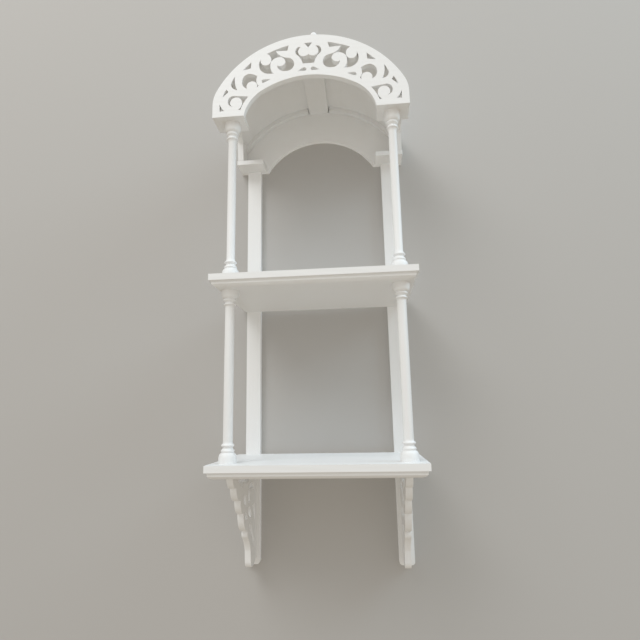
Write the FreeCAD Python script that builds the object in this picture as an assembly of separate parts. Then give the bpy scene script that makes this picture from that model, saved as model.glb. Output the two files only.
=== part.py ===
import FreeCAD, Part
import math
import os

V = FreeCAD.Vector

# A wall curio shelf in painted wood, in millimetres.
# +X is to the right of someone facing the shelf, the wall is the plane Y = 0 and the front faces -Y.
# Heights below are counted from the stiles' lower ends, and save() moves the origin to the hanger line.

# Main sizes
SHELF_WIDTH = 305.0
OVERALL_DEPTH = 199.0
LOWER_SHELF_TOP = 177.5
MIDDLE_SHELF_TOP = 449.0
CANOPY_FOOT = 708.0
HANGER_HEIGHT = 660.0

# Stiles and shelves
STILE_X = 128.0
STILE_WIDTH = 25.0
STILE_THICK = 10.5
STILE_CORNER = 5.0
SHELF_THICK = 19.2
SHELF_SQUARE_EDGE = 9.6
SHELF_EDGE_STEP = 3.6
SHELF_COVE_RADIUS = 2.6
SHELF_FILLET_HEIGHT = 2.4
SHELF_ROUND_WIDTH = 9.0
SHELF_ROUND_SAG = 0.9

# Canopy: profile heights are counted from the canopy's foot
ARCH_HALF_WIDTH = 155.0
ARCH_RISE = 135.5
ARCH_CROWN_RADIUS = 169.0
ARCH_SHOULDER_RADIUS = 53.0
ARCH_FRONT = -191.0
ARCH_THICK = 9.0
ARCH_MOUTH_HALF = 104.3
ARCH_MOUTH_RISE = 63.0
ARCH_MOUTH_RADIUS = 145.0
ARCH_MOUTH_HAUNCH = 75.0
BACK_THICK = 8.0
BACK_MOUTH_HALF = 101.5
BACK_MOUTH_RISE = 57.5
BACK_OVER_VAULT = 8.0
VAULT_RISE = 125.5
VAULT_RADIUS = 176.0
ROOF_THICK = 4.0
ROOF_TRIM = 0.5
ROOF_EAVE = 52.5
BATTEN_WIDTH = 37.0
BATTEN_THICK = 8.0
RIB_DEPTH = 9.0
RIB_THICK = 7.5
RIB_GAP = 2.0
PLATE_INNER = 105.0
FOOT_PLATE_DEPTH = 33.5
FOOT_PLATE_THICK = 6.0
CAPITAL_OUTER = 154.5
CAPITAL_DEPTH = 33.0
CAPITAL_THICK = 9.0
CHEEK_OUTER = 153.5
CHEEK_TOP = 57.0
CHEEK_LEAN = 2.5
CHEEK_BEND_FOOT = 40.0
CHEEK_BEND_REACH = 13.0

# Turned pieces
SPINDLE_X = 128.0
SPINDLE_Y = -168.0
LOWER_SHAFT_RADIUS = 6.9
UPPER_SHAFT_RADIUS = 6.35
SHAFT_SWELL = 0.15
SHAFT_START = 30.2
SPINDLE_FOOT_RADIUS = 13.0
SPINDLE_FOOT_HEIGHT = 3.5
LOWER_TOP_STRETCH = 0.88
UPPER_TOP_STRETCH = 1.08
TENON_RADIUS = 4.0
TENON_LENGTH = 4.8
TENON_PLAY = 0.05
TENON_END_GAP = 0.5
FINIAL_Y = -95.0
FINIAL_BALL_RADIUS = 6.4
FINIAL_TENON = 11.0

# Brackets under the lower shelf
BRACKET_X = 127.0
BRACKET_THICK = 10.0

# Hardware
PLATE_WIDTH = 16.0
PLATE_BELOW = 20.0
PLATE_ABOVE = 22.0
PLATE_THICK = 1.2
KEYHOLE_RADIUS = 4.5
KEYHOLE_SLOT = 4.4
KEYHOLE_RUN = 10.0
POCKET_WIDTH = 11.0
POCKET_DEPTH = 6.5
PLATE_SCREW_BELOW = 14.0
PLATE_SCREW_ABOVE = 17.5
PLATE_SCREW_LENGTH = 7.0
SCREW_RADIUS = 1.75
SCREW_HEAD = 3.4
SMALL_SCREW_RADIUS = 1.3
SMALL_SCREW_HEAD = 2.5
SHELF_SCREW_LENGTH = 40.0
BRACKET_SCREW_LENGTH = 33.0
BRACKET_SCREW_HEIGHTS = (22.0, 148.5)
PANEL_SCREW_LENGTH = 30.0
CHEEK_SCREW_HEIGHT = 24.0
BRAD_RADIUS = 0.7
BRAD_HEAD = 1.3
ARCH_BRAD_LENGTH = 24.0
ARCH_BRAD_SET = 1.0
ARCH_BRAD_INSET = 11.5
ROOF_BRAD_LENGTH = 9.5
ROOF_BRAD_SET = 0.2
ROOF_BRAD_FROM_FINIAL = 62.0
RIB_BRAD_DEGREES = (14, 29, 44)
DOWEL_RADIUS = 2.5
DOWEL_LENGTH = 30.0

# Sizes that follow from those above
HALF_SHELF = SHELF_WIDTH / 2
SHELF_BACK = -STILE_THICK
ARCH_BACK = ARCH_FRONT + ARCH_THICK
CAPITAL_FRONT = -BACK_THICK - CAPITAL_DEPTH
FOOT_PLATE_BACK = ARCH_BACK + FOOT_PLATE_DEPTH
VAULT_CENTRE = VAULT_RISE - VAULT_RADIUS
ROOF_RADIUS = VAULT_RADIUS + ROOF_THICK
ROOF_TOP = VAULT_RISE + ROOF_THICK
BACK_RADIUS = VAULT_RADIUS + BACK_OVER_VAULT
CHEEK_INNER = math.sqrt(VAULT_RADIUS ** 2 - (ROOF_EAVE - VAULT_CENTRE) ** 2)
CROWN_CENTRE = ARCH_RISE - ARCH_CROWN_RADIUS
SHOULDER_X = ARCH_HALF_WIDTH - ARCH_SHOULDER_RADIUS
SHOULDER_OVER_CENTRE = math.sqrt((ARCH_CROWN_RADIUS - ARCH_SHOULDER_RADIUS) ** 2 - SHOULDER_X ** 2)
SHOULDER_HEIGHT = CROWN_CENTRE + SHOULDER_OVER_CENTRE
SHOULDER_ANGLE = math.atan2(SHOULDER_OVER_CENTRE, SHOULDER_X)

# Piercings of the front arch, as (x, height) on its left half.
# After the start, one point is a straight run to it and two points are an arc through the first.
FOOT_CORNER = [(-143.5, 10), [(-143.5, 23)], [(-140, 15.5), (-135.5, 10.5)]]
FOOT_SCROLL = [
    (-122.1, 17.1), [(-130.2, 25), (-118.3, 35.7)], [(-97.4, 33)], [(-104.5, 22), (-109.8, 10.1)],
    [(-113.6, 11)], [(-109, 15.5), (-107.2, 22)], [(-116.7, 33), (-126.2, 22.5)],
    [(-125, 19.5), (-122.1, 17.1)],
]
OUTER_SLIVER = [(-139, 34.5), [(-136.5, 42), (-132.5, 48.5)], [(-129.5, 43.5)]]
OUTER_LEAF = [
    (-119, 70.5), [(-122.8, 64.2), (-125.7, 57.5)], [(-124.2, 52), (-115, 46.3)],
    [(-118.9, 58), (-119, 70.5)],
]
HAUNCH_SCROLL = [
    (-99.2, 47), [(-107.7, 60), (-97, 73.4)], [(-89.5, 72), (-82.7, 68)], [(-84, 60), (-80.5, 50.5)],
    [(-83.2, 47.4)], [(-93, 59.3), (-99.2, 47)],
]
HAUNCH_FIN = [(-92.5, 94), [(-93.3, 83)], [(-106.6, 80.4)], [(-99.5, 87.6), (-92.5, 94)]]
MOUTH_DROP = [
    (-61.5, 60.5), [(-68, 57.2), (-73.7, 55)], [(-75.5, 58), (-72.6, 61)], [(-67, 61.2), (-61.5, 60.5)],
]
TWIN_SCROLL = [
    (-31.5, 119.3), [(-33.8, 110)], [(-52.4, 110.5)], [(-45, 101.5), (-33.2, 97)],
    [(-23, 86.5), (-37.5, 73.4)], [(-46, 76), (-50.3, 84.2)], [(-43, 83.2), (-37, 90)],
    [(-40.5, 97), (-48.1, 99.2)], [(-58.5, 94), (-61.4, 83)], [(-60, 76), (-55.6, 70.3)],
    [(-65.2, 70.8)], [(-79.5, 84), (-76.9, 97.5)], [(-68.3, 86.2), (-60.2, 95.5)],
    [(-61.5, 102.5), (-67.3, 107)], [(-50, 114), (-31.5, 119.3)],
]
CROWN_DROP = [(-17.3, 70.8), [(-12.5, 74.5), (-8, 77)], [(-4.2, 75.5), (-4.5, 71)]]
CROWN_LYRE = [
    (-9.3, 84), [(-12, 92.5), (-17.3, 99.5)], [(-20.8, 107.5), (-15.5, 114.8)], [(-11.4, 114.4)],
    [(-16.2, 105), (-9.8, 97.4)], [(-4.5, 97.5), (0, 100.6)], [(4.5, 97.5), (9.8, 97.4)],
    [(16.2, 105), (11.4, 114.4)], [(15.5, 114.8)], [(20.8, 107.5), (17.3, 99.5)], [(12, 92.5), (9.3, 84)],
]
CROWN_POINT = [(-6.5, 121), [(6.5, 121)], [(0, 112.8)]]
PAIRED_PIERCINGS = [
    FOOT_CORNER, FOOT_SCROLL, OUTER_SLIVER, OUTER_LEAF, HAUNCH_SCROLL, HAUNCH_FIN, MOUTH_DROP, TWIN_SCROLL,
    CROWN_DROP,
]
CENTRE_PIERCINGS = [CROWN_LYRE, CROWN_POINT]

# Bracket outlines as (y, height): the corners between the scallops, the toe, then the piercings
SCALLOP_CORNERS = [(-160, 158.3), (-140, 139.5), (-115, 118.3), (-96, 96), (-68.5, 64.8)]
SCALLOP_BULGE = 0.2
BRACKET_TOE = [
    [(-70, 60), (-67, 54.5)], [(-55.5, 44), (-48, 30)], [(-46.5, 15)], [(-43, 6.5), (-34, 3)],
    [(-22, 4.9), (SHELF_BACK, 11)],
]
TOP_LEAF = [
    (-127, 149), [(-92, 152.5), (-56, 143)], [(-70, 138.8), (-84, 139.5)], [(-96, 141), (-104, 134)],
    [(-113, 138.5), (-127, 149)],
]
VOLUTE_CRESCENT = [
    (-60, 104), [(-66, 124), (-47, 134)], [(-32, 131), (-24, 117)], [(-33, 124), (-44, 125.5)],
    [(-55.5, 119), (-52, 107)],
]
UPPER_DROP = [(-95, 122), [(-91, 110.5), (-81, 106)], [(-81, 118), (-95, 122)]]
FRONT_DROP = [(-88.5, 95), [(-82.5, 86), (-72, 83)], [(-77, 93), (-88.5, 95)]]
INNER_DROP = [(-67, 98), [(-60.5, 86), (-46, 82)], [(-50, 95), (-67, 98)]]
BACK_FIN = [(-20.5, 104), [(-20.5, 72)], [(-28, 83), (-38, 98)], [(-29, 98), (-20.5, 104)]]
TOE_LEAF = [(-60, 69), [(-49.5, 73), (-41, 66)], [(-32, 53), (-25, 30)], [(-38, 49), (-60, 69)]]
BRACKET_PIERCINGS = [TOP_LEAF, VOLUTE_CRESCENT, UPPER_DROP, FRONT_DROP, INNER_DROP, BACK_FIN, TOE_LEAF]

# Half profile of a spindle's end above its foot, as (radius, distance from the end), in the same form
SPINDLE_TURNINGS = [
    [(12.9, 7)], [(11.9, 12), (9.1, 14.8)], [(8.6, 15.3)], [(9.7, 17.4), (8.3, 19.6)], [(7, 21.4), (7.6, 23)],
    [(9.4, 25), (7.6, 27)],
]
SHAFT_NECK = (7, 28.4)
# The finial's half profile, as (radius, height over the roof's crown)
FINIAL_TURNINGS = [
    [(14, -2)], [(14, 1)], [(14.6, 3.5), (13.4, 6)], [(11.6, 9), (9, 13)], [(7.6, 14)],
    [(9, 16.5), (7.4, 19)], [(5.6, 23), (7.2, 28)], [(12.6, 40), (10.6, 54)], [(7.6, 62), (4.6, 67)],
    [(4.2, 70)], [(6.4, 72.5), (4.2, 75)], [(3.6, 79), (4.2, 82.8)],
]


def mirrored(outline):
    """The outline with its first coordinate reversed."""
    start, moves = outline[0], outline[1:]
    return [(-start[0], start[1])] + [[(-a, b) for a, b in move] for move in moves]


def edges_of(outline, place):
    """Straight and round edges through a closed outline's points, each put in space by place()."""
    edges = []
    start = outline[0]
    here = start
    for move in outline[1:]:
        end = move[-1]
        if len(move) == 2:
            edges.append(Part.Arc(place(*here), place(*move[0]), place(*end)).toShape())
        else:
            edges.append(Part.makeLine(place(*here), place(*end)))
        here = end
    if here != start:
        edges.append(Part.makeLine(place(*here), place(*start)))
    return edges


def prism(outline, place, sweep):
    """A solid with this outline as its end face."""
    return Part.Face(Part.Wire(edges_of(outline, place))).extrude(sweep)


def lathe(outline, x, y, z, up=1):
    """A turned solid from a closed half profile of (radius, height), standing or, with up = -1, hanging."""
    wire = Part.Wire(edges_of(outline, lambda r, h: V(x + r, y, z + up * h)))
    return Part.Face(wire).revolve(V(x, y, z), V(0, 0, 1), 360)


def box(x0, x1, y0, y1, z0, z1):
    return Part.makeBox(x1 - x0, y1 - y0, z1 - z0, V(x0, y0, z0))


def on_left(shape):
    return shape.mirror(V(0, 0, 0), V(1, 0, 0))


def on_canopy(y):
    """Places (x, height over the canopy's foot) on the plane at depth y."""
    return lambda x, height: V(x, y, CANOPY_FOOT + height)


def shoulder_point(inset, angle):
    radius = ARCH_SHOULDER_RADIUS - inset
    return (SHOULDER_X + radius * math.cos(angle), SHOULDER_HEIGHT + radius * math.sin(angle))


def crown_point(inset, angle):
    radius = ARCH_CROWN_RADIUS - inset
    return (radius * math.cos(angle), CROWN_CENTRE + radius * math.sin(angle))


def arch_curve(inset):
    """The arch's upper outline, from its right foot over the crown to its left foot, as an open outline."""
    spring = shoulder_point(inset, 0.0)
    haunch = shoulder_point(inset, SHOULDER_ANGLE / 2)
    shoulder = crown_point(inset, SHOULDER_ANGLE)
    return [
        (spring[0], 0.0), [spring], [haunch, shoulder],
        [(0.0, ARCH_RISE - inset), (-shoulder[0], shoulder[1])],
        [(-haunch[0], haunch[1]), (-spring[0], spring[1])], [(-spring[0], 0.0)],
    ]


def over(radius, x):
    """The point over x on a circle about the vault's axis."""
    return (x, VAULT_CENTRE + math.sqrt(radius ** 2 - x ** 2))


def beside(radius, height):
    """How far out a circle about the vault's axis is at this height."""
    return math.sqrt(radius ** 2 - (height - VAULT_CENTRE) ** 2)


def under_roof(radius):
    """The space over the eave and within this radius of the vault's axis, from the arch to the back panel."""
    side = beside(radius, ROOF_EAVE)
    outline = [(side, ROOF_EAVE), [over(radius, 0.0), (-side, ROOF_EAVE)]]
    return prism(outline, on_canopy(ARCH_BACK), V(0, -BACK_THICK - ARCH_BACK, 0))


def tangent_via(start, heading, end):
    """Point halfway along the arc that leaves start at heading, in radians, and ends at end."""
    across, rise = end[0] - start[0], end[1] - start[1]
    half_turn = math.atan2(rise, across) - heading
    sag = math.tan(half_turn / 2) / 2
    return ((start[0] + end[0]) / 2 + sag * rise, (start[1] + end[1]) / 2 - sag * across)


def front_arch():
    centre = ARCH_MOUTH_RISE - ARCH_MOUTH_RADIUS
    haunch = (ARCH_MOUTH_HAUNCH, centre + math.sqrt(ARCH_MOUTH_RADIUS ** 2 - ARCH_MOUTH_HAUNCH ** 2))
    foot = (ARCH_MOUTH_HALF, 0.0)
    side = tangent_via(haunch, -math.asin(ARCH_MOUTH_HAUNCH / ARCH_MOUTH_RADIUS), foot)
    mouth = [
        [(-foot[0], foot[1])], [(-side[0], side[1]), (-haunch[0], haunch[1])],
        [(0.0, ARCH_MOUTH_RISE), haunch], [side, foot],
    ]
    panel = prism(arch_curve(0.0) + mouth, on_canopy(ARCH_FRONT), V(0, ARCH_THICK, 0))
    outlines = CENTRE_PIERCINGS + PAIRED_PIERCINGS + [mirrored(outline) for outline in PAIRED_PIERCINGS]
    sweep = V(0, ARCH_THICK + 2, 0)
    return panel.cut([prism(outline, on_canopy(ARCH_FRONT - 1), sweep) for outline in outlines])


def back_arch():
    """A plain arched board with a level shoulder over each cheek."""
    shoulder = beside(BACK_RADIUS, CHEEK_TOP)
    upper = [
        (CAPITAL_OUTER, 0.0), [(CAPITAL_OUTER, CHEEK_TOP)], [(shoulder, CHEEK_TOP)],
        [over(BACK_RADIUS, 0.0), (-shoulder, CHEEK_TOP)], [(-CAPITAL_OUTER, CHEEK_TOP)],
        [(-CAPITAL_OUTER, 0.0)],
    ]
    mouth = [[(-BACK_MOUTH_HALF, 0.0)], [(0.0, BACK_MOUTH_RISE), (BACK_MOUTH_HALF, 0.0)]]
    return prism(upper + mouth, on_canopy(-BACK_THICK), V(0, BACK_THICK, 0))


def roof():
    """A bent sheet whose lower edges are trimmed to the front arch's outline."""
    sheet = under_roof(ROOF_RADIUS).cut(under_roof(VAULT_RADIUS))
    return sheet.common(prism(arch_curve(ROOF_TRIM), on_canopy(ARCH_BACK), V(0, -BACK_THICK - ARCH_BACK, 0)))


def crown_batten():
    half = BATTEN_WIDTH / 2
    side = over(VAULT_RADIUS, half)[1]
    low = VAULT_RISE - BATTEN_THICK
    outline = [(half, low), [(half, side)], [(0.0, VAULT_RISE), (-half, side)], [(-half, low)]]
    return prism(outline, on_canopy(ARCH_BACK), V(0, -BACK_THICK - ARCH_BACK, 0))


def rear_rib():
    """The right-hand rib, a sawn curve under the roof's back edge, from beside the batten to the cheek."""
    near = BATTEN_WIDTH / 2 + RIB_GAP
    middle = (near + CHEEK_INNER) / 2
    low = VAULT_RADIUS - RIB_THICK
    outline = [
        over(VAULT_RADIUS, near), [over(VAULT_RADIUS, middle), over(VAULT_RADIUS, CHEEK_INNER)],
        [over(low, CHEEK_INNER)], [over(low, middle), over(low, near)],
    ]
    return prism(outline, on_canopy(-BACK_THICK - RIB_DEPTH), V(0, RIB_DEPTH, 0))


def cheek():
    """The right-hand cheek: a leg on the capital that bends into an arm along the roof's eave."""
    bend = (CAPITAL_FRONT - CHEEK_LEAN, CHEEK_BEND_FOOT)
    eave = (CAPITAL_FRONT - CHEEK_BEND_REACH, ROOF_EAVE)
    heading = math.atan2(CHEEK_BEND_FOOT - CAPITAL_THICK, -CHEEK_LEAN)
    outline = [
        (-BACK_THICK, CAPITAL_THICK), [(CAPITAL_FRONT, CAPITAL_THICK)], [bend],
        [tangent_via(bend, heading, eave), eave],
        [(FOOT_PLATE_BACK, ROOF_EAVE)], [(FOOT_PLATE_BACK, CHEEK_TOP)], [(-BACK_THICK, CHEEK_TOP)],
    ]
    across = V(CHEEK_OUTER - CHEEK_INNER, 0, 0)
    return prism(outline, lambda y, height: V(CHEEK_INNER, y, CANOPY_FOOT + height), across).cut(roof())


def shelf(top):
    """A board with a cove, a fillet and a flat round under its square edge, along its front and ends."""
    bottom = top - SHELF_THICK
    board = box(-HALF_SHELF, HALF_SHELF, -OVERALL_DEPTH, SHELF_BACK, bottom, top)
    step, width, cove = SHELF_EDGE_STEP, SHELF_ROUND_WIDTH, SHELF_COVE_RADIUS
    worked = SHELF_THICK - SHELF_SQUARE_EDGE
    height = worked - cove - SHELF_FILLET_HEIGHT
    sag = SHELF_ROUND_SAG / math.hypot(width, height)
    bow = cove * (1 - math.sqrt(0.5))
    outline = [
        (-1.0, -1.0), [(step + width, -1.0)], [(step + width, 0.0)],
        [(step + width / 2 - sag * height, height / 2 - sag * width), (step, height)],
        [(step, worked - cove)], [(step - bow, worked - bow), (step - cove, worked)], [(-1.0, worked)],
    ]
    across = V(SHELF_WIDTH + 2, 0, 0)
    along = V(0, OVERALL_DEPTH + 2, 0)
    front = prism(outline, lambda d, h: V(-HALF_SHELF - 1, -OVERALL_DEPTH + d, bottom + h), across)
    left = prism(outline, lambda d, h: V(-HALF_SHELF + d, -OVERALL_DEPTH - 1, bottom + h), along)
    right = prism(outline, lambda d, h: V(HALF_SHELF - d, -OVERALL_DEPTH - 1, bottom + h), along)
    return board.cut([front, left, right])


def tenon_hole(side, z, up):
    depth = TENON_LENGTH + TENON_END_GAP
    return Part.makeCylinder(TENON_RADIUS + TENON_PLAY, depth, V(side * SPINDLE_X, SPINDLE_Y, z), V(0, 0, up))


def spindle(side, low, high, shaft_radius, top_stretch):
    """A turned post between two boards, with the same turnings at both ends, longer or shorter at its top."""
    middle = (high - low) / 2
    tenon = [(0.0, -TENON_LENGTH), [(TENON_RADIUS, -TENON_LENGTH)], [(TENON_RADIUS, 0.0)]]
    foot = [[(SPINDLE_FOOT_RADIUS, 0.0)], [(SPINDLE_FOOT_RADIUS, SPINDLE_FOOT_HEIGHT)]]
    neck = [[SHAFT_NECK, (shaft_radius, SHAFT_START)]]
    shaft = [[(shaft_radius + SHAFT_SWELL, middle)], [(0.0, middle)]]
    halves = []
    for end, up, stretch in ((low, 1, 1.0), (high, -1, top_stretch)):
        turnings = [[(r, h * stretch) for r, h in move] for move in foot + SPINDLE_TURNINGS + neck]
        halves.append(lathe(tenon + turnings + shaft, side * SPINDLE_X, SPINDLE_Y, end, up))
    return halves[0].fuse(halves[1]).removeSplitter()


def finial():
    """A turned vase and ball whose foot is hollowed to sit on the roof."""
    crown = CANOPY_FOOT + ROOF_TOP
    axis_foot = (0.0, FINIAL_TURNINGS[0][-1][1])
    neck = FINIAL_TURNINGS[-1][-1]
    ball = neck[1] + math.sqrt(FINIAL_BALL_RADIUS ** 2 - neck[0] ** 2)
    tip = [[(FINIAL_BALL_RADIUS, ball), (0.0, ball + FINIAL_BALL_RADIUS)]]
    turned = lathe([axis_foot] + FINIAL_TURNINGS + tip, 0.0, FINIAL_Y, crown)
    tenon = Part.makeCylinder(TENON_RADIUS, FINIAL_TENON + 1, V(0, FINIAL_Y, crown - FINIAL_TENON))
    return turned.cut(under_roof(ROOF_RADIUS)).fuse(tenon).removeSplitter()


def finial_hole():
    depth = FINIAL_TENON + TENON_END_GAP
    foot = V(0, FINIAL_Y, CANOPY_FOOT + ROOF_TOP - depth)
    return Part.makeCylinder(TENON_RADIUS + TENON_PLAY, depth + 1, foot)


def bracket(side):
    """A sawn bracket square to the wall, with scallops down its front and pierced scrolls."""
    scallops = []
    for near, far in zip(SCALLOP_CORNERS, SCALLOP_CORNERS[1:]):
        back, down = far[0] - near[0], far[1] - near[1]
        middle = ((near[0] + far[0]) / 2, (near[1] + far[1]) / 2)
        scallops.append([(middle[0] + SCALLOP_BULGE * down, middle[1] - SCALLOP_BULGE * back), far])
    face = side * BRACKET_X - BRACKET_THICK / 2
    back_edge = [[(SHELF_BACK, LOWER_SHELF_TOP - SHELF_THICK)]]
    outline = [SCALLOP_CORNERS[0]] + scallops + BRACKET_TOE + back_edge
    blank = prism(outline, lambda y, z: V(face, y, z), V(BRACKET_THICK, 0, 0))
    sweep = V(BRACKET_THICK + 2, 0, 0)
    return blank.cut([prism(hole, lambda y, z: V(face - 1, y, z), sweep) for hole in BRACKET_PIERCINGS])


def stile(side):
    x0 = side * STILE_X - STILE_WIDTH / 2
    x1 = x0 + STILE_WIDTH
    r = STILE_CORNER
    bow = r * (1 - math.sqrt(0.5))
    outline = [
        (x0, r), [(x0 + bow, bow), (x0 + r, 0.0)], [(x1 - r, 0.0)], [(x1 - bow, bow), (x1, r)],
        [(x1, CANOPY_FOOT)], [(x0, CANOPY_FOOT)],
    ]
    return prism(outline, lambda x, z: V(x, -STILE_THICK, z), V(0, STILE_THICK, 0))


def keyhole(side, radius, half_slot, depth):
    """A keyhole cutter from the wall side, with its round part on the hanger line and its slot above."""
    x = side * STILE_X
    into = V(0, -1, 0)
    top = HANGER_HEIGHT + KEYHOLE_RUN
    head = Part.makeCylinder(radius, depth, V(x, 0, HANGER_HEIGHT), into)
    end = Part.makeCylinder(half_slot, depth, V(x, 0, top), into)
    slot = box(x - half_slot, x + half_slot, -depth, 0, HANGER_HEIGHT, top)
    return head.fuse([end, slot])


def hanger_recess(side):
    x = side * STILE_X
    low, high = HANGER_HEIGHT - PLATE_BELOW, HANGER_HEIGHT + PLATE_ABOVE
    return box(x - PLATE_WIDTH / 2, x + PLATE_WIDTH / 2, -PLATE_THICK, 0, low, high)


def hanger_plate(side):
    return hanger_recess(side).cut(keyhole(side, KEYHOLE_RADIUS, KEYHOLE_SLOT / 2, PLATE_THICK))


def hanger_pocket(side):
    """Room behind the plate for a wall screw's head."""
    return keyhole(side, POCKET_WIDTH / 2, POCKET_WIDTH / 2, PLATE_THICK + POCKET_DEPTH)


def wood_screw(x, z, length, radius, head):
    """A countersunk screw driven from the wall side, with its head flush at Y = 0."""
    at = V(x, 0, z)
    into = V(0, -1, 0)
    shank = Part.makeCylinder(radius, length, at, into)
    cone = Part.makeCone(head, radius, head - radius, at, into)
    point = Part.makeCone(radius, radius / 4, radius * 2, V(x, -length, z), into)
    return shank.fuse([cone, point]).removeSplitter()


def cross_recess(x, z, head):
    reach, width, depth = head * 0.62, head * 0.2, head * 0.3
    flat = box(x - reach, x + reach, -depth, 1, z - width, z + width)
    upright = box(x - width, x + width, -depth, 1, z - reach, z + reach)
    return flat.fuse(upright)


def brad(start, direction, length):
    """A flat-headed brad whose head begins at start."""
    head = Part.makeCylinder(BRAD_HEAD, BRAD_RADIUS, start, direction)
    return head.fuse(Part.makeCylinder(BRAD_RADIUS, length, start, direction)).removeSplitter()


def save(name, shape):
    placed = shape.Solids[0].copy() if len(shape.Solids) == 1 else shape.copy()
    placed.translate(V(0, 0, -HANGER_HEIGHT))
    state = "valid" if placed.isValid() else "BROKEN"
    print(name, len(placed.Solids), "solids", round(placed.Volume), "mm3", state)
    placed.exportStep("parts/%s.step" % name)


os.makedirs("parts", exist_ok=True)
SIDES = {"left": -1, "right": 1}
SHELF_TOPS = {"lower_shelf": LOWER_SHELF_TOP, "middle_shelf": MIDDLE_SHELF_TOP}

# Fasteners come first, because the wood is cut to them
capital_middle = (PLATE_INNER + CAPITAL_OUTER) / 2
cheek_middle = (CHEEK_INNER + CHEEK_OUTER) / 2
batten_middle = CANOPY_FOOT + VAULT_RISE - BATTEN_THICK / 2
wood_screw_size = (SCREW_RADIUS, SCREW_HEAD)
plate_screw_size = (SMALL_SCREW_RADIUS, SMALL_SCREW_HEAD)
screw_spots = {"shelf_screws": [], "bracket_screws": [], "back_panel_screws": [], "hanger_screws": []}
for side in SIDES.values():
    for top in SHELF_TOPS.values():
        spot = (side * STILE_X, top - SHELF_THICK / 2, SHELF_SCREW_LENGTH)
        screw_spots["shelf_screws"].append(spot + wood_screw_size)
    for height in BRACKET_SCREW_HEIGHTS:
        spot = (side * BRACKET_X, height, BRACKET_SCREW_LENGTH)
        screw_spots["bracket_screws"].append(spot + wood_screw_size)
    for x, height in (
        (capital_middle, CANOPY_FOOT + CAPITAL_THICK / 2), (cheek_middle, CANOPY_FOOT + CHEEK_SCREW_HEIGHT),
        (BATTEN_WIDTH / 4, batten_middle),
    ):
        screw_spots["back_panel_screws"].append((side * x, height, PANEL_SCREW_LENGTH) + wood_screw_size)
    for rise in (-PLATE_SCREW_BELOW, PLATE_SCREW_ABOVE):
        spot = (side * STILE_X, HANGER_HEIGHT + rise, PLATE_SCREW_LENGTH)
        screw_spots["hanger_screws"].append(spot + plate_screw_size)
screws = {name: [wood_screw(*spot) for spot in spots] for name, spots in screw_spots.items()}

arch_brads = []
roof_brads = []
rib_middle = -BACK_THICK - RIB_DEPTH / 2
for side in SIDES.values():
    for x, height in (
        (PLATE_INNER + ARCH_BRAD_INSET, CANOPY_FOOT + FOOT_PLATE_THICK / 2),
        (ARCH_HALF_WIDTH - ARCH_BRAD_INSET, CANOPY_FOOT + FOOT_PLATE_THICK / 2),
        (BATTEN_WIDTH / 3, batten_middle),
    ):
        head = V(side * x, ARCH_FRONT + ARCH_BRAD_SET, height)
        arch_brads.append(brad(head, V(0, 1, 0), ARCH_BRAD_LENGTH))
    head = V(0, FINIAL_Y + side * ROOF_BRAD_FROM_FINIAL, CANOPY_FOOT + ROOF_TOP - ROOF_BRAD_SET)
    roof_brads.append(brad(head, V(0, 0, -1), ROOF_BRAD_LENGTH))
    for degrees in RIB_BRAD_DEGREES:
        turn = side * math.radians(degrees)
        out = V(math.sin(turn), 0, math.cos(turn))
        head = V(0, rib_middle, CANOPY_FOOT + VAULT_CENTRE) + out * (ROOF_RADIUS - ROOF_BRAD_SET)
        roof_brads.append(brad(head, out * -1, ROOF_BRAD_LENGTH))

dowel_foot = CANOPY_FOOT - DOWEL_LENGTH / 2
dowels = [
    Part.makeCylinder(DOWEL_RADIUS, DOWEL_LENGTH, V(side * STILE_X, -BACK_THICK / 2, dowel_foot))
    for side in SIDES.values()
]

# The canopy
roof_holes = roof_brads + [finial_hole()]
save("front_arch_fretwork", front_arch().cut(arch_brads))
save("back_arch_panel", back_arch().cut(screws["back_panel_screws"] + dowels))
save("roof_panel", roof().cut(roof_holes))
save("crown_batten", crown_batten().cut(screws["back_panel_screws"] + arch_brads + roof_holes))
save("crown_finial", finial())
save("rear_rib_right", rear_rib().cut(roof_brads))
save("rear_rib_left", on_left(rear_rib()).cut(roof_brads))
save("cheek_right", cheek().cut(screws["back_panel_screws"]))
save("cheek_left", on_left(cheek()).cut(screws["back_panel_screws"]))
for name, side in SIDES.items():
    inner, outer = sorted((side * PLATE_INNER, side * CAPITAL_OUTER))
    capital = box(inner, outer, CAPITAL_FRONT, -BACK_THICK, CANOPY_FOOT, CANOPY_FOOT + CAPITAL_THICK)
    save("capital_" + name, capital.cut(screws["back_panel_screws"]))
    inner, outer = sorted((side * PLATE_INNER, side * ARCH_HALF_WIDTH))
    plate = box(inner, outer, ARCH_BACK, FOOT_PLATE_BACK, CANOPY_FOOT, CANOPY_FOOT + FOOT_PLATE_THICK)
    save("foot_plate_" + name, plate.cut(arch_brads + [tenon_hole(side, CANOPY_FOOT, 1)]))

# Shelves
lower_sockets = [tenon_hole(side, LOWER_SHELF_TOP, -1) for side in SIDES.values()]
middle_sockets = [tenon_hole(side, MIDDLE_SHELF_TOP, -1) for side in SIDES.values()]
middle_sockets += [tenon_hole(side, MIDDLE_SHELF_TOP - SHELF_THICK, 1) for side in SIDES.values()]
save("lower_shelf", shelf(LOWER_SHELF_TOP).cut(screws["shelf_screws"] + lower_sockets))
save("middle_shelf", shelf(MIDDLE_SHELF_TOP).cut(screws["shelf_screws"] + middle_sockets))

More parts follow.
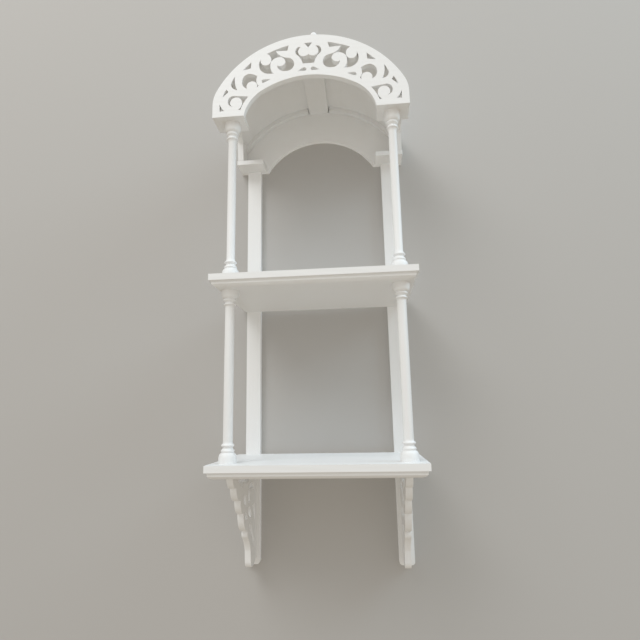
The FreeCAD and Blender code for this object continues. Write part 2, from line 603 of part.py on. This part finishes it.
# Posts, brackets and hangers
stile_holes = screws["shelf_screws"] + screws["bracket_screws"] + screws["hanger_screws"] + dowels
for name, side in SIDES.items():
    lower_top = MIDDLE_SHELF_TOP - SHELF_THICK
    lower_post = spindle(side, LOWER_SHELF_TOP, lower_top, LOWER_SHAFT_RADIUS, LOWER_TOP_STRETCH)
    upper_post = spindle(side, MIDDLE_SHELF_TOP, CANOPY_FOOT, UPPER_SHAFT_RADIUS, UPPER_TOP_STRETCH)
    save("lower_spindle_" + name, lower_post)
    save("upper_spindle_" + name, upper_post)
    save("bracket_" + name, bracket(side).cut(screws["bracket_screws"]))
    save("stile_" + name, stile(side).cut(stile_holes + [hanger_recess(side), hanger_pocket(side)]))
    save("hanger_plate_" + name, hanger_plate(side).cut(screws["hanger_screws"]))

# Fasteners
for name, spots in screw_spots.items():
    driven = [screw.cut(cross_recess(x, z, head)) for screw, (x, z, _, _, head) in zip(screws[name], spots)]
    save(name, Part.makeCompound(driven))
save("arch_brads", Part.makeCompound(arch_brads))
save("roof_brads", Part.makeCompound(roof_brads))
save("stile_dowels", Part.makeCompound(dowels))
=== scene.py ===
# %% [markdown]
# # A white painted wall curio shelf
# Two step-edged shelves stand on turned spindles and flat stiles, under a small vaulted canopy with a
# fretwork arch. The measured solids come first: they hold every size and place, in metres, and nothing
# below moves them. This lesson adds what the maker's sandpaper, lathe and paintbrush add to them: eased
# corners, finer turning and a paint film with wood showing faintly through it.

# %% Load the measured solids
import math

import bmesh
import bpy
from mathutils import Matrix, Vector


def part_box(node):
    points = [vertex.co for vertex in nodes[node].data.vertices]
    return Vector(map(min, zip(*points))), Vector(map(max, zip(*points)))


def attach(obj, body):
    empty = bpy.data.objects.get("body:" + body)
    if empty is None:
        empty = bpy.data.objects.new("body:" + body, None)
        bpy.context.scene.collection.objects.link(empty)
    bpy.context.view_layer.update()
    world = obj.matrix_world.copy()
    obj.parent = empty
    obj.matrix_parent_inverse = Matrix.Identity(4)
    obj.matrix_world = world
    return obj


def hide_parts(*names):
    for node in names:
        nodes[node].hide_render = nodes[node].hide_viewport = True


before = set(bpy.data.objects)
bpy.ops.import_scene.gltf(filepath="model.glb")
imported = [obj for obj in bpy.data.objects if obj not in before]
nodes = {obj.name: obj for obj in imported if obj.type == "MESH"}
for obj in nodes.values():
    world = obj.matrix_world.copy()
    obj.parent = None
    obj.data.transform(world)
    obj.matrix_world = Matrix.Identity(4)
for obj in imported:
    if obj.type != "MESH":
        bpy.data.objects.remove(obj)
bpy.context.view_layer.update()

MM = 0.001
scene = bpy.context.scene

# %% [markdown]
# ## The camera
# The camera stands in front of the shelf's lower half and looks up a little, so the lower shelf's top and
# the inside of the canopy both show. A camera can be aimed with a Track To constraint. Here its place and
# three turns, in radians, are written out instead, because they came from the shelf's own square edges and
# keep the slight roll of a picture held in the hand.

# %% Set up the camera
EYE = Vector((0.0711, -0.8611, -0.4150))
TILT, ROLL, PAN = 0.1885, 0.0376, 0.0892
IMAGE_SIDE = 640
FOCAL_LENGTH_PIXELS = 481.24
SENSOR = 36.0

eye = bpy.data.cameras.new("eye")
eye.sensor_width = SENSOR
eye.lens = SENSOR * FOCAL_LENGTH_PIXELS / IMAGE_SIDE
camera = bpy.data.objects.new("eye", eye)
turns = Matrix.Rotation(TILT, 4, "X") @ Matrix.Rotation(ROLL, 4, "Y") @ Matrix.Rotation(PAN, 4, "Z")
camera.matrix_world = Matrix.Translation(EYE) @ turns @ Matrix.Rotation(math.pi / 2, 4, "X")
scene.collection.objects.link(camera)
scene.camera = camera
scene.view_settings.view_transform = "Standard"
print("lens of", round(eye.lens, 2), "mm")

# %% [markdown]
# ## Wiring shader nodes
# Every finish here is a small tree of shader nodes. Adding a node, setting its options and linking its
# sockets takes a line each in plain Blender code, so two short helpers do it: one for any node, one for
# sums between two values.

# %% Node helpers
def add(tree, kind, sockets=None, **options):
    """A new shader node. A socket's value is another node's output, which is linked, or a plain value."""
    made = tree.nodes.new("ShaderNode" + kind)
    for option, value in options.items():
        setattr(made, option, value)
    for name, value in (sockets or {}).items():
        if isinstance(value, bpy.types.NodeSocket):
            tree.links.new(value, made.inputs[name])
        else:
            made.inputs[name].default_value = value
    return made


def sum_of(tree, operation, first, second):
    """The result of one Math node, such as a product or the larger of two values."""
    return add(tree, "Math", {0: first, 1: second}, operation=operation).outputs[0]


print("node helpers ready")

# %% [markdown]
# ## The wall
# A pale plain wall stands just behind the shelf and takes its shadow. A single grid face is enough for it.
# Seen from the front it is matt paint. From behind, and for the light that bounces about, it is clear, so
# that the back of the shelf can be looked at and is lit as well. Reflections in the steel at the shelf's
# back start a hair's breadth from the wall, where it is black with shadow, so the wall is clear to rays
# that short too.

# %% Mix the wall's paint
WALL_COLOUR = (0.50, 0.485, 0.465, 1.0)
TOO_CLOSE = 10 * MM


def in_picture(tree, ray):
    """1 for a ray that shows something, straight, in a reflection or through glass, and 0 for light."""
    direct = sum_of(tree, "MAXIMUM", ray["Is Camera Ray"], ray["Is Glossy Ray"])
    return sum_of(tree, "MAXIMUM", direct, ray["Is Transmission Ray"])


wall_paint = bpy.data.materials.new("pale_wall")
wall_paint.use_nodes = True
tree = wall_paint.node_tree
tree.nodes.remove(tree.nodes["Principled BSDF"])
ray = add(tree, "LightPath").outputs
in_front = sum_of(tree, "SUBTRACT", 1.0, add(tree, "NewGeometry").outputs["Backfacing"])
far_off = sum_of(tree, "GREATER_THAN", ray["Ray Length"], TOO_CLOSE)
shown = sum_of(tree, "MULTIPLY", in_picture(tree, ray), in_front)
shown = sum_of(tree, "MULTIPLY", shown, far_off)
matt = add(tree, "BsdfDiffuse", {"Color": WALL_COLOUR}).outputs[0]
clear = add(tree, "BsdfTransparent").outputs[0]
surface = add(tree, "MixShader", {0: shown, 1: clear, 2: matt}).outputs[0]
tree.links.new(surface, tree.nodes["Material Output"].inputs["Surface"])
print("wall paint mixed")

# %% Stand the wall behind the shelf
WALL_HALF_SIZE = 4.0
WALL_GAP = 0.5 * MM

bm = bmesh.new()
upright = Matrix.Translation((0, WALL_GAP, 0)) @ Matrix.Rotation(math.pi / 2, 4, "X")
bmesh.ops.create_grid(bm, x_segments=1, y_segments=1, size=WALL_HALF_SIZE, matrix=upright)
wall_mesh = bpy.data.meshes.new("wall")
bm.to_mesh(wall_mesh)
bm.free()
wall_mesh.materials.append(wall_paint)
wall = bpy.data.objects.new("wall", wall_mesh)
scene.collection.objects.link(wall)
print("wall", 2 * WALL_HALF_SIZE, "m square")

# %% [markdown]
# ## Soft light
# The light is cool on every top face, neutral from the room in front, and dim and warm on the undersides,
# where it has bounced off a floor. A ring of lamps could do that, but a sky that changes gently with
# direction gives the same soft slopes with no hard shadow. Two wide lamps, one under the ceiling at the
# left and one for a window at the right, add a little direction. A third lights the back straight on,
# through the clear side of the wall, so that white stays white from behind as well. It is hidden from
# reflections, because it would shine off the shelves' tops through the wall.

# %% Make the sky
SKY_EVEN = (0.48, 0.465, 0.435)
SKY_UPWARD = (0.07, 0.11, 0.16)
SKY_FORWARD = (0.25, 0.24, 0.225)
SKY_DARKEST = (0.25, 0.22, 0.18)

world = bpy.data.worlds.new("soft_sky")
scene.world = world
world.use_nodes = True
tree = world.node_tree
axes = add(tree, "SeparateXYZ", {0: add(tree, "TexCoord").outputs["Generated"]}).outputs
forward = sum_of(tree, "MULTIPLY", axes["Y"], -1.0)
sky = SKY_EVEN
for slope, change in ((axes["Z"], SKY_UPWARD), (forward, SKY_FORWARD)):
    sky = add(tree, "VectorMath", {0: slope, 1: change, 2: sky}, operation="MULTIPLY_ADD").outputs[0]
sky = add(tree, "VectorMath", {0: sky, 1: SKY_DARKEST}, operation="MAXIMUM").outputs[0]
shown = in_picture(tree, add(tree, "LightPath").outputs)
shade = add(tree, "Mix", {0: shown, 6: sky, 7: WALL_COLOUR}, data_type="RGBA").outputs[2]
tree.links.new(shade, tree.nodes["Background"].inputs["Color"])
print("sky made")

# %% Hang three wide lamps
SHELF_MIDDLE = Vector((0.0, -0.1, -0.2))
LOWER_BAY = Vector((0.0, -0.1, -0.35))
COOL_WHITE = (0.96, 0.985, 1.0)
SKY_BLUE = (0.66, 0.86, 1.0)
WARM_WHITE = (1.0, 0.98, 0.95)


def hang_lamp(name, place, target, size, watts, colour):
    """A square lamp that faces its target."""
    lamp = bpy.data.lights.new(name, "AREA")
    lamp.shape = "SQUARE"
    lamp.size = size
    lamp.energy = watts
    lamp.color = colour
    hung = bpy.data.objects.new(name, lamp)
    hung.location = place
    hung.rotation_euler = (target - hung.location).to_track_quat("-Z", "Y").to_euler()
    scene.collection.objects.link(hung)
    print(name, "lamp", round((target - hung.location).length, 2), "m away")
    return hung


hang_lamp("ceiling", (-1.3, -1.95, 2.2), SHELF_MIDDLE, size=1.8, watts=46.0, colour=COOL_WHITE)
hang_lamp("window", (2.0, -0.5, 1.2), LOWER_BAY, size=1.2, watts=25.0, colour=SKY_BLUE)
back = hang_lamp("back", (0.0, 3.2, -0.45), SHELF_MIDDLE, size=1.0, watts=36.0, colour=WARM_WHITE)
back.visible_glossy = False

# %% [markdown]
# ## Brush marks
# Satin paint is laid on with a brush along each board, so it dries with fine bristle lines and broader
# laps. Noise that is stretched along one axis makes both. The group reads a direction in which X runs
# along the board, so one group serves every board once a Mapping node has turned its pattern.

# %% Helpers for the effects
NOISE_ROUGHNESS = 0.55


def new_group(name, inputs, outputs):
    """A shader group with named sockets: its tree, its inputs to read from and its outputs to write to."""
    group = bpy.data.node_groups.new(name, "ShaderNodeTree")
    for label, kind in inputs:
        group.interface.new_socket(label, in_out="INPUT", socket_type="NodeSocket" + kind)
    for label, kind in outputs:
        group.interface.new_socket(label, in_out="OUTPUT", socket_type="NodeSocket" + kind)
    return group, group.nodes.new("NodeGroupInput").outputs, group.nodes.new("NodeGroupOutput").inputs


def stretched_noise(tree, vector, length, width, detail):
    """Noise whose spots are this long along X and this wide across it."""
    scale = (1 / length, 1 / width, 1 / width)
    spread = add(tree, "Mapping", {"Vector": vector, "Scale": scale}).outputs[0]
    spots = {"Vector": spread, "Scale": 1.0, "Detail": detail, "Roughness": NOISE_ROUGHNESS}
    return add(tree, "TexNoise", spots).outputs[0]


print("effect helpers ready")

# %% The bristle group
BRISTLE_WIDTH = 1.2 * MM
BRISTLE_LENGTH = 160 * MM
LAP_WIDTH = 22 * MM
LAP_LENGTH = 240 * MM

bristles, given, out = new_group(
    "Bristle marks", [("Vector", "Vector")], [("Height", "Float"), ("Laps", "Float")]
)
fine = stretched_noise(bristles, given["Vector"], BRISTLE_LENGTH, BRISTLE_WIDTH, detail=2.0)
laps = stretched_noise(bristles, given["Vector"], LAP_LENGTH, LAP_WIDTH, detail=1.0)
bristles.links.new(sum_of(bristles, "ADD", fine, laps), out["Height"])
bristles.links.new(laps, out["Laps"])
print("group", bristles.name)

# %% [markdown]
# ## Grain under the paint
# Two coats of paint don't hide wood. Growth rings swell and shrink, and stand up through the film as long
# soft ridges. A wave texture bent by noise, and stretched along the board, draws them on every face,
# because its bands are diagonal to the axes.

# %% The grain group
RING_STRETCH = 0.07
RING_WAVES = 70.0
RING_BEND = 7.0
RING_DETAIL = 2.0
RING_DETAIL_SCALE = 0.6
BLOTCH_LENGTH = 180 * MM
BLOTCH_WIDTH = 45 * MM

grain, given, out = new_group(
    "Grain under paint", [("Vector", "Vector")], [("Height", "Float"), ("Tone", "Float")]
)
drawn_out = add(grain, "Mapping", {"Vector": given["Vector"], "Scale": (RING_STRETCH, 1.0, 1.0)}).outputs[0]
rings = add(
    grain, "TexWave",
    {
        "Vector": drawn_out, "Scale": RING_WAVES, "Distortion": RING_BEND,
        "Detail": RING_DETAIL, "Detail Scale": RING_DETAIL_SCALE,
    },
    wave_type="BANDS", bands_direction="DIAGONAL",
).outputs["Fac"]
blotch = stretched_noise(grain, given["Vector"], BLOTCH_LENGTH, BLOTCH_WIDTH, detail=2.0)
grain.links.new(rings, out["Height"])
grain.links.new(blotch, out["Tone"])
print("group", grain.name)

# %% [markdown]
# ## Thin paint on the corners
# Handling rubs the corners of a painted board first, and a brush drags the film thin over them. A vertex
# attribute called arris marks the middle of each eased corner, and noise breaks it into short runs, so
# that the wood's warmth shows only here and there. Reading an attribute keeps the wear on the corner
# whatever the piece's shape.

# %% The worn corner group
RUB_SPOT = 16 * MM
RUB_FROM, RUB_TO = 0.52, 0.72

rubbed, given, out = new_group(
    "Rubbed corners", [("Vector", "Vector"), ("Arris", "Float")], [("Mask", "Float")]
)
spots = stretched_noise(rubbed, given["Vector"], RUB_SPOT, RUB_SPOT, detail=3.0)
runs = add(rubbed, "MapRange", {"Value": spots, "From Min": RUB_FROM, "From Max": RUB_TO}).outputs[0]
rubbed.links.new(sum_of(rubbed, "MULTIPLY", runs, given["Arris"]), out["Mask"])
print("group", rubbed.name)

# %% [markdown]
# ## The white paint
# One paint covers the whole shelf, but the brush and the grain run along each board, so the finish comes
# in three turns. The colour stays a plain soft white. Its life comes from the roughness and a shallow
# bump, because a stronger pattern in the colour would look like bare wood or marble.

# %% Mix the paint in three directions
WHITE = (0.87, 0.87, 0.865, 1.0)
AGED_WHITE = (0.84, 0.835, 0.81, 1.0)
THIN_PAINT = (0.60, 0.54, 0.44, 1.0)
TONE_SHARE = 0.35
RUB_SHARE = 0.35
GLOSSY, DULL = 0.42, 0.58
FILM_DEPTH = 0.05 * MM
GRAIN_DEPTH = 0.06 * MM
ALONG = {
    "x": (0.0, 0.0, 0.0),
    "y": (0.0, 0.0, -math.pi / 2),
    "z": (0.0, math.pi / 2, 0.0),
}


def white_paint(direction):
    """Satin white brushed along one axis of the shelf."""
    material = bpy.data.materials.new("white_paint_along_" + direction)
    material.use_nodes = True
    tree = material.node_tree
    shader = tree.nodes["Principled BSDF"]
    place = add(tree, "TexCoord").outputs["Object"]
    along = add(tree, "Mapping", {"Vector": place, "Rotation": ALONG[direction]}).outputs[0]
    film = add(tree, "Group", node_tree=bristles)
    wood = add(tree, "Group", node_tree=grain)
    rub = add(tree, "Group", node_tree=rubbed)
    for effect in (film, wood, rub):
        tree.links.new(along, effect.inputs["Vector"])
    tree.links.new(add(tree, "Attribute", attribute_name="arris").outputs["Fac"], rub.inputs["Arris"])

    tone = sum_of(tree, "MULTIPLY", wood.outputs["Tone"], TONE_SHARE)
    colour = add(tree, "Mix", {0: tone, 6: WHITE, 7: AGED_WHITE}, data_type="RGBA").outputs[2]
    worn = sum_of(tree, "MULTIPLY", rub.outputs["Mask"], RUB_SHARE)
    colour = add(tree, "Mix", {0: worn, 6: colour, 7: THIN_PAINT}, data_type="RGBA").outputs[2]
    tree.links.new(colour, shader.inputs["Base Color"])
    sheen = {"Value": film.outputs["Laps"], "To Min": GLOSSY, "To Max": DULL}
    tree.links.new(add(tree, "MapRange", sheen).outputs[0], shader.inputs["Roughness"])
    ridges = {"Height": wood.outputs["Height"], "Distance": GRAIN_DEPTH, "Strength": 1.0}
    ridged = add(tree, "Bump", ridges).outputs[0]
    marks = {"Height": film.outputs["Height"], "Normal": ridged, "Distance": FILM_DEPTH, "Strength": 1.0}
    tree.links.new(add(tree, "Bump", marks).outputs[0], shader.inputs["Normal"])
    return material


paint = {direction: white_paint(direction) for direction in ALONG}
print("paint mixed for", ", ".join(paint))

# %% [markdown]
# ## Sawn and planed pieces
# The boards, arch, ribs and brackets are cut with a saw and planed. Sandpaper and paint then take the
# sharpness off every corner, by about half a millimetre, and that thin rounded line is what catches the
# light on a real edge. A Bevel modifier could do it, but here the copy is bevelled with an operator, so
# that the rounded faces are known and the middle of each corner can be marked for wear. The solids are
# loose triangles, so a copy is merged into whole faces first. Facets of the screw and brad holes are too
# short to ease, and stay sharp.

# %% The easing helper
MERGE_DISTANCE = 0.001 * MM
FLAT_ANGLE = math.radians(0.3)
ARRIS_ANGLE = math.radians(34)
HOLE_FACET = 0.45 * MM
EASE_STEPS = 2


def place_piece(name, bm, material, node):
    """Turns a finished bmesh into a smooth painted piece that stands for one solid."""
    mesh = bpy.data.meshes.new(name)
    bm.to_mesh(mesh)
    bm.free()
    mesh.shade_smooth()
    mesh.materials.append(material)
    piece = bpy.data.objects.new(name, mesh)
    scene.collection.objects.link(piece)
    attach(piece, "root")
    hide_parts(node)
    return piece


def eased(node, width, direction):
    """A copy of a solid with its corners rounded by this width, and painted along this direction."""
    bm = bmesh.new()
    bm.from_mesh(nodes[node].data)
    bm.verts.layers.float.new("arris")
    bmesh.ops.remove_doubles(bm, verts=bm.verts, dist=MERGE_DISTANCE)
    bmesh.ops.dissolve_limit(bm, angle_limit=FLAT_ANGLE, verts=bm.verts, edges=bm.edges)
    corners = [
        edge for edge in bm.edges
        if edge.is_manifold and edge.calc_face_angle() > ARRIS_ANGLE and edge.calc_length() > HOLE_FACET
    ]
    rounded = bmesh.ops.bevel(
        bm, geom=corners, offset=width, offset_type="OFFSET", segments=EASE_STEPS, profile=0.5,
        affect="EDGES", clamp_overlap=True, material=-1, miter_outer="ARC",
    )
    soft_faces = set(rounded["faces"])
    arris = bm.verts.layers.float["arris"]
    for vert in rounded["verts"]:
        vert[arris] = float(all(face in soft_faces for face in vert.link_faces))
    piece = place_piece("eased_" + node, bm, paint[direction], node)
    piece.modifiers.new("even_shading", "WEIGHTED_NORMAL").keep_sharp = True
    print(piece.name, len(corners), "corners,", len(piece.data.polygons), "faces")


print("corners over", round(math.degrees(ARRIS_ANGLE)), "degrees will be eased")

# %% Ease the boards
SHELF_EASE = 0.7 * MM
BOARD_EASE = 0.6 * MM
THIN_EASE = 0.5 * MM

for shelf in ("lower_shelf", "middle_shelf"):
    eased(shelf, SHELF_EASE, "x")
for side in ("left", "right"):
    eased("stile_" + side, BOARD_EASE, "z")
    eased("bracket_" + side, BOARD_EASE, "z")
    eased("capital_" + side, BOARD_EASE, "x")
    eased("cheek_" + side, THIN_EASE, "z")
    eased("foot_plate_" + side, THIN_EASE, "x")

# %% Ease the canopy
SHEET_EASE = 0.4 * MM

eased("front_arch_fretwork", BOARD_EASE, "x")
eased("back_arch_panel", THIN_EASE, "x")
eased("roof_panel", SHEET_EASE, "y")
eased("crown_batten", BOARD_EASE, "y")
for side in ("left", "right"):
    eased("rear_rib_" + side, THIN_EASE, "x")

# %% [markdown]
# ## Turned spindles
# The four posts come off a lathe: a foot, a dome, two beads between fillets, and a long shaft that swells
# a little at its middle. Both ends are alike, but hand turning left the top ones a little shorter or
# longer, and the upper posts a little thinner. On the computer a lathe is the spin operator: half the
# outline is drawn as a string of edges and swept round the post's axis. A subdivided cylinder could be
# pushed into this shape too, but the outline keeps the crisp grooves a turning tool leaves.

# %% Draw a turned outline
ARC_STEPS = 7


def swept_points(start, via, end):
    """Points of a smooth bow from start to end that passes through via half way."""
    pull = 2 * via - (start + end) / 2
    shares = [step / ARC_STEPS for step in range(1, ARC_STEPS + 1)]
    return [(1 - t) ** 2 * start + 2 * t * (1 - t) * pull + t ** 2 * end for t in shares]


def outline(start, moves):
    """A turned outline in radius and height. A move is an end point, or a point to pass and an end point."""
    points = [Vector(start)]
    for move in moves:
        ends = [Vector(point) for point in move]
        points += swept_points(points[-1], *ends) if len(ends) == 2 else ends
    return points


print("bows drawn in", ARC_STEPS, "steps")

# %% The lathe
SPIN_STEPS = 64


def turned(node, points, foot):
    """Spins an outline, in millimetres, round the axis of the solid that it stands for."""
    bm = bmesh.new()
    low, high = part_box(node)
    base = Vector(((low.x + high.x) / 2, (low.y + high.y) / 2, foot))
    string = [bm.verts.new(base + Vector((point.x, 0, point.y)) * MM) for point in points]
    edges = [bm.edges.new(pair) for pair in zip(string, string[1:])]
    bmesh.ops.spin(
        bm, geom=string + edges, cent=base, axis=(0, 0, 1), angle=2 * math.pi, steps=SPIN_STEPS,
        use_merge=True,
    )
    bmesh.ops.remove_doubles(bm, verts=bm.verts, dist=MERGE_DISTANCE)
    bmesh.ops.recalc_face_normals(bm, faces=bm.faces)
    piece = place_piece("turned_" + node, bm, paint["z"], node)
    piece.data.set_sharp_from_angle(angle=ARRIS_ANGLE)
    print(piece.name, len(points), "outline points,", len(piece.data.polygons), "faces")


print("lathe of", SPIN_STEPS, "steps ready")

# %% Turn the four spindles
SPINDLE_FOOT = 13.0
FOOT_HEIGHT = 3.5
SHAFT_RADIUS = {"lower": 6.9, "upper": 6.35}
SHAFT_SWELL = 0.15
TOP_STRETCH = {"lower": 0.88, "upper": 1.08}
END_TURNINGS = [
    [(SPINDLE_FOOT, 0.0)],
    [(SPINDLE_FOOT, FOOT_HEIGHT)],
    [(12.9, 7.0)],
    [(11.9, 12.0), (9.1, 14.8)],
    [(8.6, 15.3)],
    [(9.7, 17.4), (8.3, 19.6)],
    [(7.0, 21.4), (7.6, 23.0)],
    [(9.4, 25.0), (7.6, 27.0)],
]
SHAFT_NECK = (7.0, 28.4)
SHAFT_START = 30.2
BOARDS = {"lower": ("lower_shelf", "middle_shelf"), "upper": ("middle_shelf", "foot_plate_left")}

for row, (board_below, board_above) in BOARDS.items():
    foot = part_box(board_below)[1].z
    length = (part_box(board_above)[0].z - foot) / MM
    middle = Vector((SHAFT_RADIUS[row] + SHAFT_SWELL, length / 2))
    turned_end = outline((0.0, 0.0), END_TURNINGS + [[SHAFT_NECK, (SHAFT_RADIUS[row], SHAFT_START)]])
    top_end = [Vector((point.x, length - TOP_STRETCH[row] * point.y)) for point in reversed(turned_end)]
    for side in ("left", "right"):
        turned(row + "_spindle_" + side, turned_end + [middle] + top_end, foot)

# %% [markdown]
# ## The finial
# A small turned vase with a ball on top is pegged into the crown of the roof. Only its tip shows over the
# arch from the front. It is spun like the spindles. Its foot reaches a little way into the roof, so that
# no gap shows where the curved sheet falls away under it.

# %% Turn the finial
FINIAL_HEIGHT = 94.03
FINIAL_FOOT = 14.0
FINIAL_SINK = 2.0
BALL_RADIUS = 6.4
COS_45 = math.sqrt(0.5)
FINIAL_TURNINGS = [
    [(FINIAL_FOOT, -FINIAL_SINK)],
    [(FINIAL_FOOT, 1.0)],
    [(14.6, 3.5), (13.4, 6.0)],
    [(11.6, 9.0), (9.0, 13.0)],
    [(7.6, 14.0)],
    [(9.0, 16.5), (7.4, 19.0)],
    [(5.6, 23.0), (7.2, 28.0)],
    [(12.6, 40.0), (10.6, 54.0)],
    [(7.6, 62.0), (4.6, 67.0)],
    [(4.2, 70.0)],
    [(6.4, 72.5), (4.2, 75.0)],
    [(3.6, 79.0), (4.2, 82.8)],
    [(6.0, 85.4), (BALL_RADIUS, FINIAL_HEIGHT - BALL_RADIUS)],
    [(BALL_RADIUS * COS_45, FINIAL_HEIGHT - BALL_RADIUS * (1 - COS_45)), (0.0, FINIAL_HEIGHT)],
]
roof_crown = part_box("crown_finial")[1].z - FINIAL_HEIGHT * MM
turned("crown_finial", outline((0.0, -FINIAL_SINK), FINIAL_TURNINGS), roof_crown)

# %% [markdown]
# ## Screws, hanger plates, brads and dowels
# The hardware keeps its measured solids, which are already as fine as the real pieces. The screws and the
# keyhole plates are zinc plated: a bluish grey metal, cloudy and a little uneven. The brads went in before
# the paint, so they are white as well, and the hidden dowels are bare wood.

# %% Plate the steel
ZINC = (0.62, 0.63, 0.63, 1.0)
ZINC_DULL = (0.47, 0.475, 0.47, 1.0)
ZINC_CLOUD = 3.0 * MM
ZINC_GRAIN = 0.25 * MM
ZINC_GRAIN_DEPTH = 0.01 * MM
ZINC_BRIGHTEST, ZINC_ROUGHEST = 0.24, 0.5

zinc = bpy.data.materials.new("zinc_plate")
zinc.use_nodes = True
tree = zinc.node_tree
shader = tree.nodes["Principled BSDF"]
place = add(tree, "TexCoord").outputs["Object"]
cloud = stretched_noise(tree, place, ZINC_CLOUD, ZINC_CLOUD, detail=3.0)
speck = stretched_noise(tree, place, ZINC_GRAIN, ZINC_GRAIN, detail=1.0)
tint = add(tree, "Mix", {0: cloud, 6: ZINC, 7: ZINC_DULL}, data_type="RGBA").outputs[2]
tree.links.new(tint, shader.inputs["Base Color"])
rough = add(tree, "MapRange", {"Value": cloud, "To Min": ZINC_BRIGHTEST, "To Max": ZINC_ROUGHEST}).outputs[0]
tree.links.new(rough, shader.inputs["Roughness"])
pitted = add(tree, "Bump", {"Height": speck, "Distance": ZINC_GRAIN_DEPTH}).outputs[0]
tree.links.new(pitted, shader.inputs["Normal"])
shader.inputs["Metallic"].default_value = 1.0
print("zinc mixed")

# %% Leave the dowels bare
PALE_WOOD = (0.66, 0.49, 0.31, 1.0)
DARK_WOOD = (0.48, 0.32, 0.18, 1.0)
WOOD_SMOOTHEST, WOOD_ROUGHEST = 0.55, 0.75

dowel_wood = bpy.data.materials.new("bare_wood")
dowel_wood.use_nodes = True
tree = dowel_wood.node_tree
shader = tree.nodes["Principled BSDF"]
place = add(tree, "TexCoord").outputs["Object"]
along = add(tree, "Mapping", {"Vector": place, "Rotation": ALONG["z"]}).outputs[0]
figure = add(tree, "Group", {"Vector": along}, node_tree=grain).outputs
tint = add(tree, "Mix", {0: figure["Height"], 6: PALE_WOOD, 7: DARK_WOOD}, data_type="RGBA").outputs[2]
tree.links.new(tint, shader.inputs["Base Color"])
rough = {"Value": figure["Tone"], "To Min": WOOD_SMOOTHEST, "To Max": WOOD_ROUGHEST}
tree.links.new(add(tree, "MapRange", rough).outputs[0], shader.inputs["Roughness"])
print("dowel wood mixed")

# %% Give the hardware its finishes
HARDWARE = {
    "shelf_screws": zinc, "bracket_screws": zinc, "back_panel_screws": zinc, "hanger_screws": zinc,
    "hanger_plate_left": zinc, "hanger_plate_right": zinc,
    "arch_brads": paint["z"], "roof_brads": paint["y"], "stile_dowels": dowel_wood,
}
for node, material in HARDWARE.items():
    nodes[node].data.materials.clear()
    nodes[node].data.materials.append(material)
print(len(HARDWARE), "hardware solids finished")
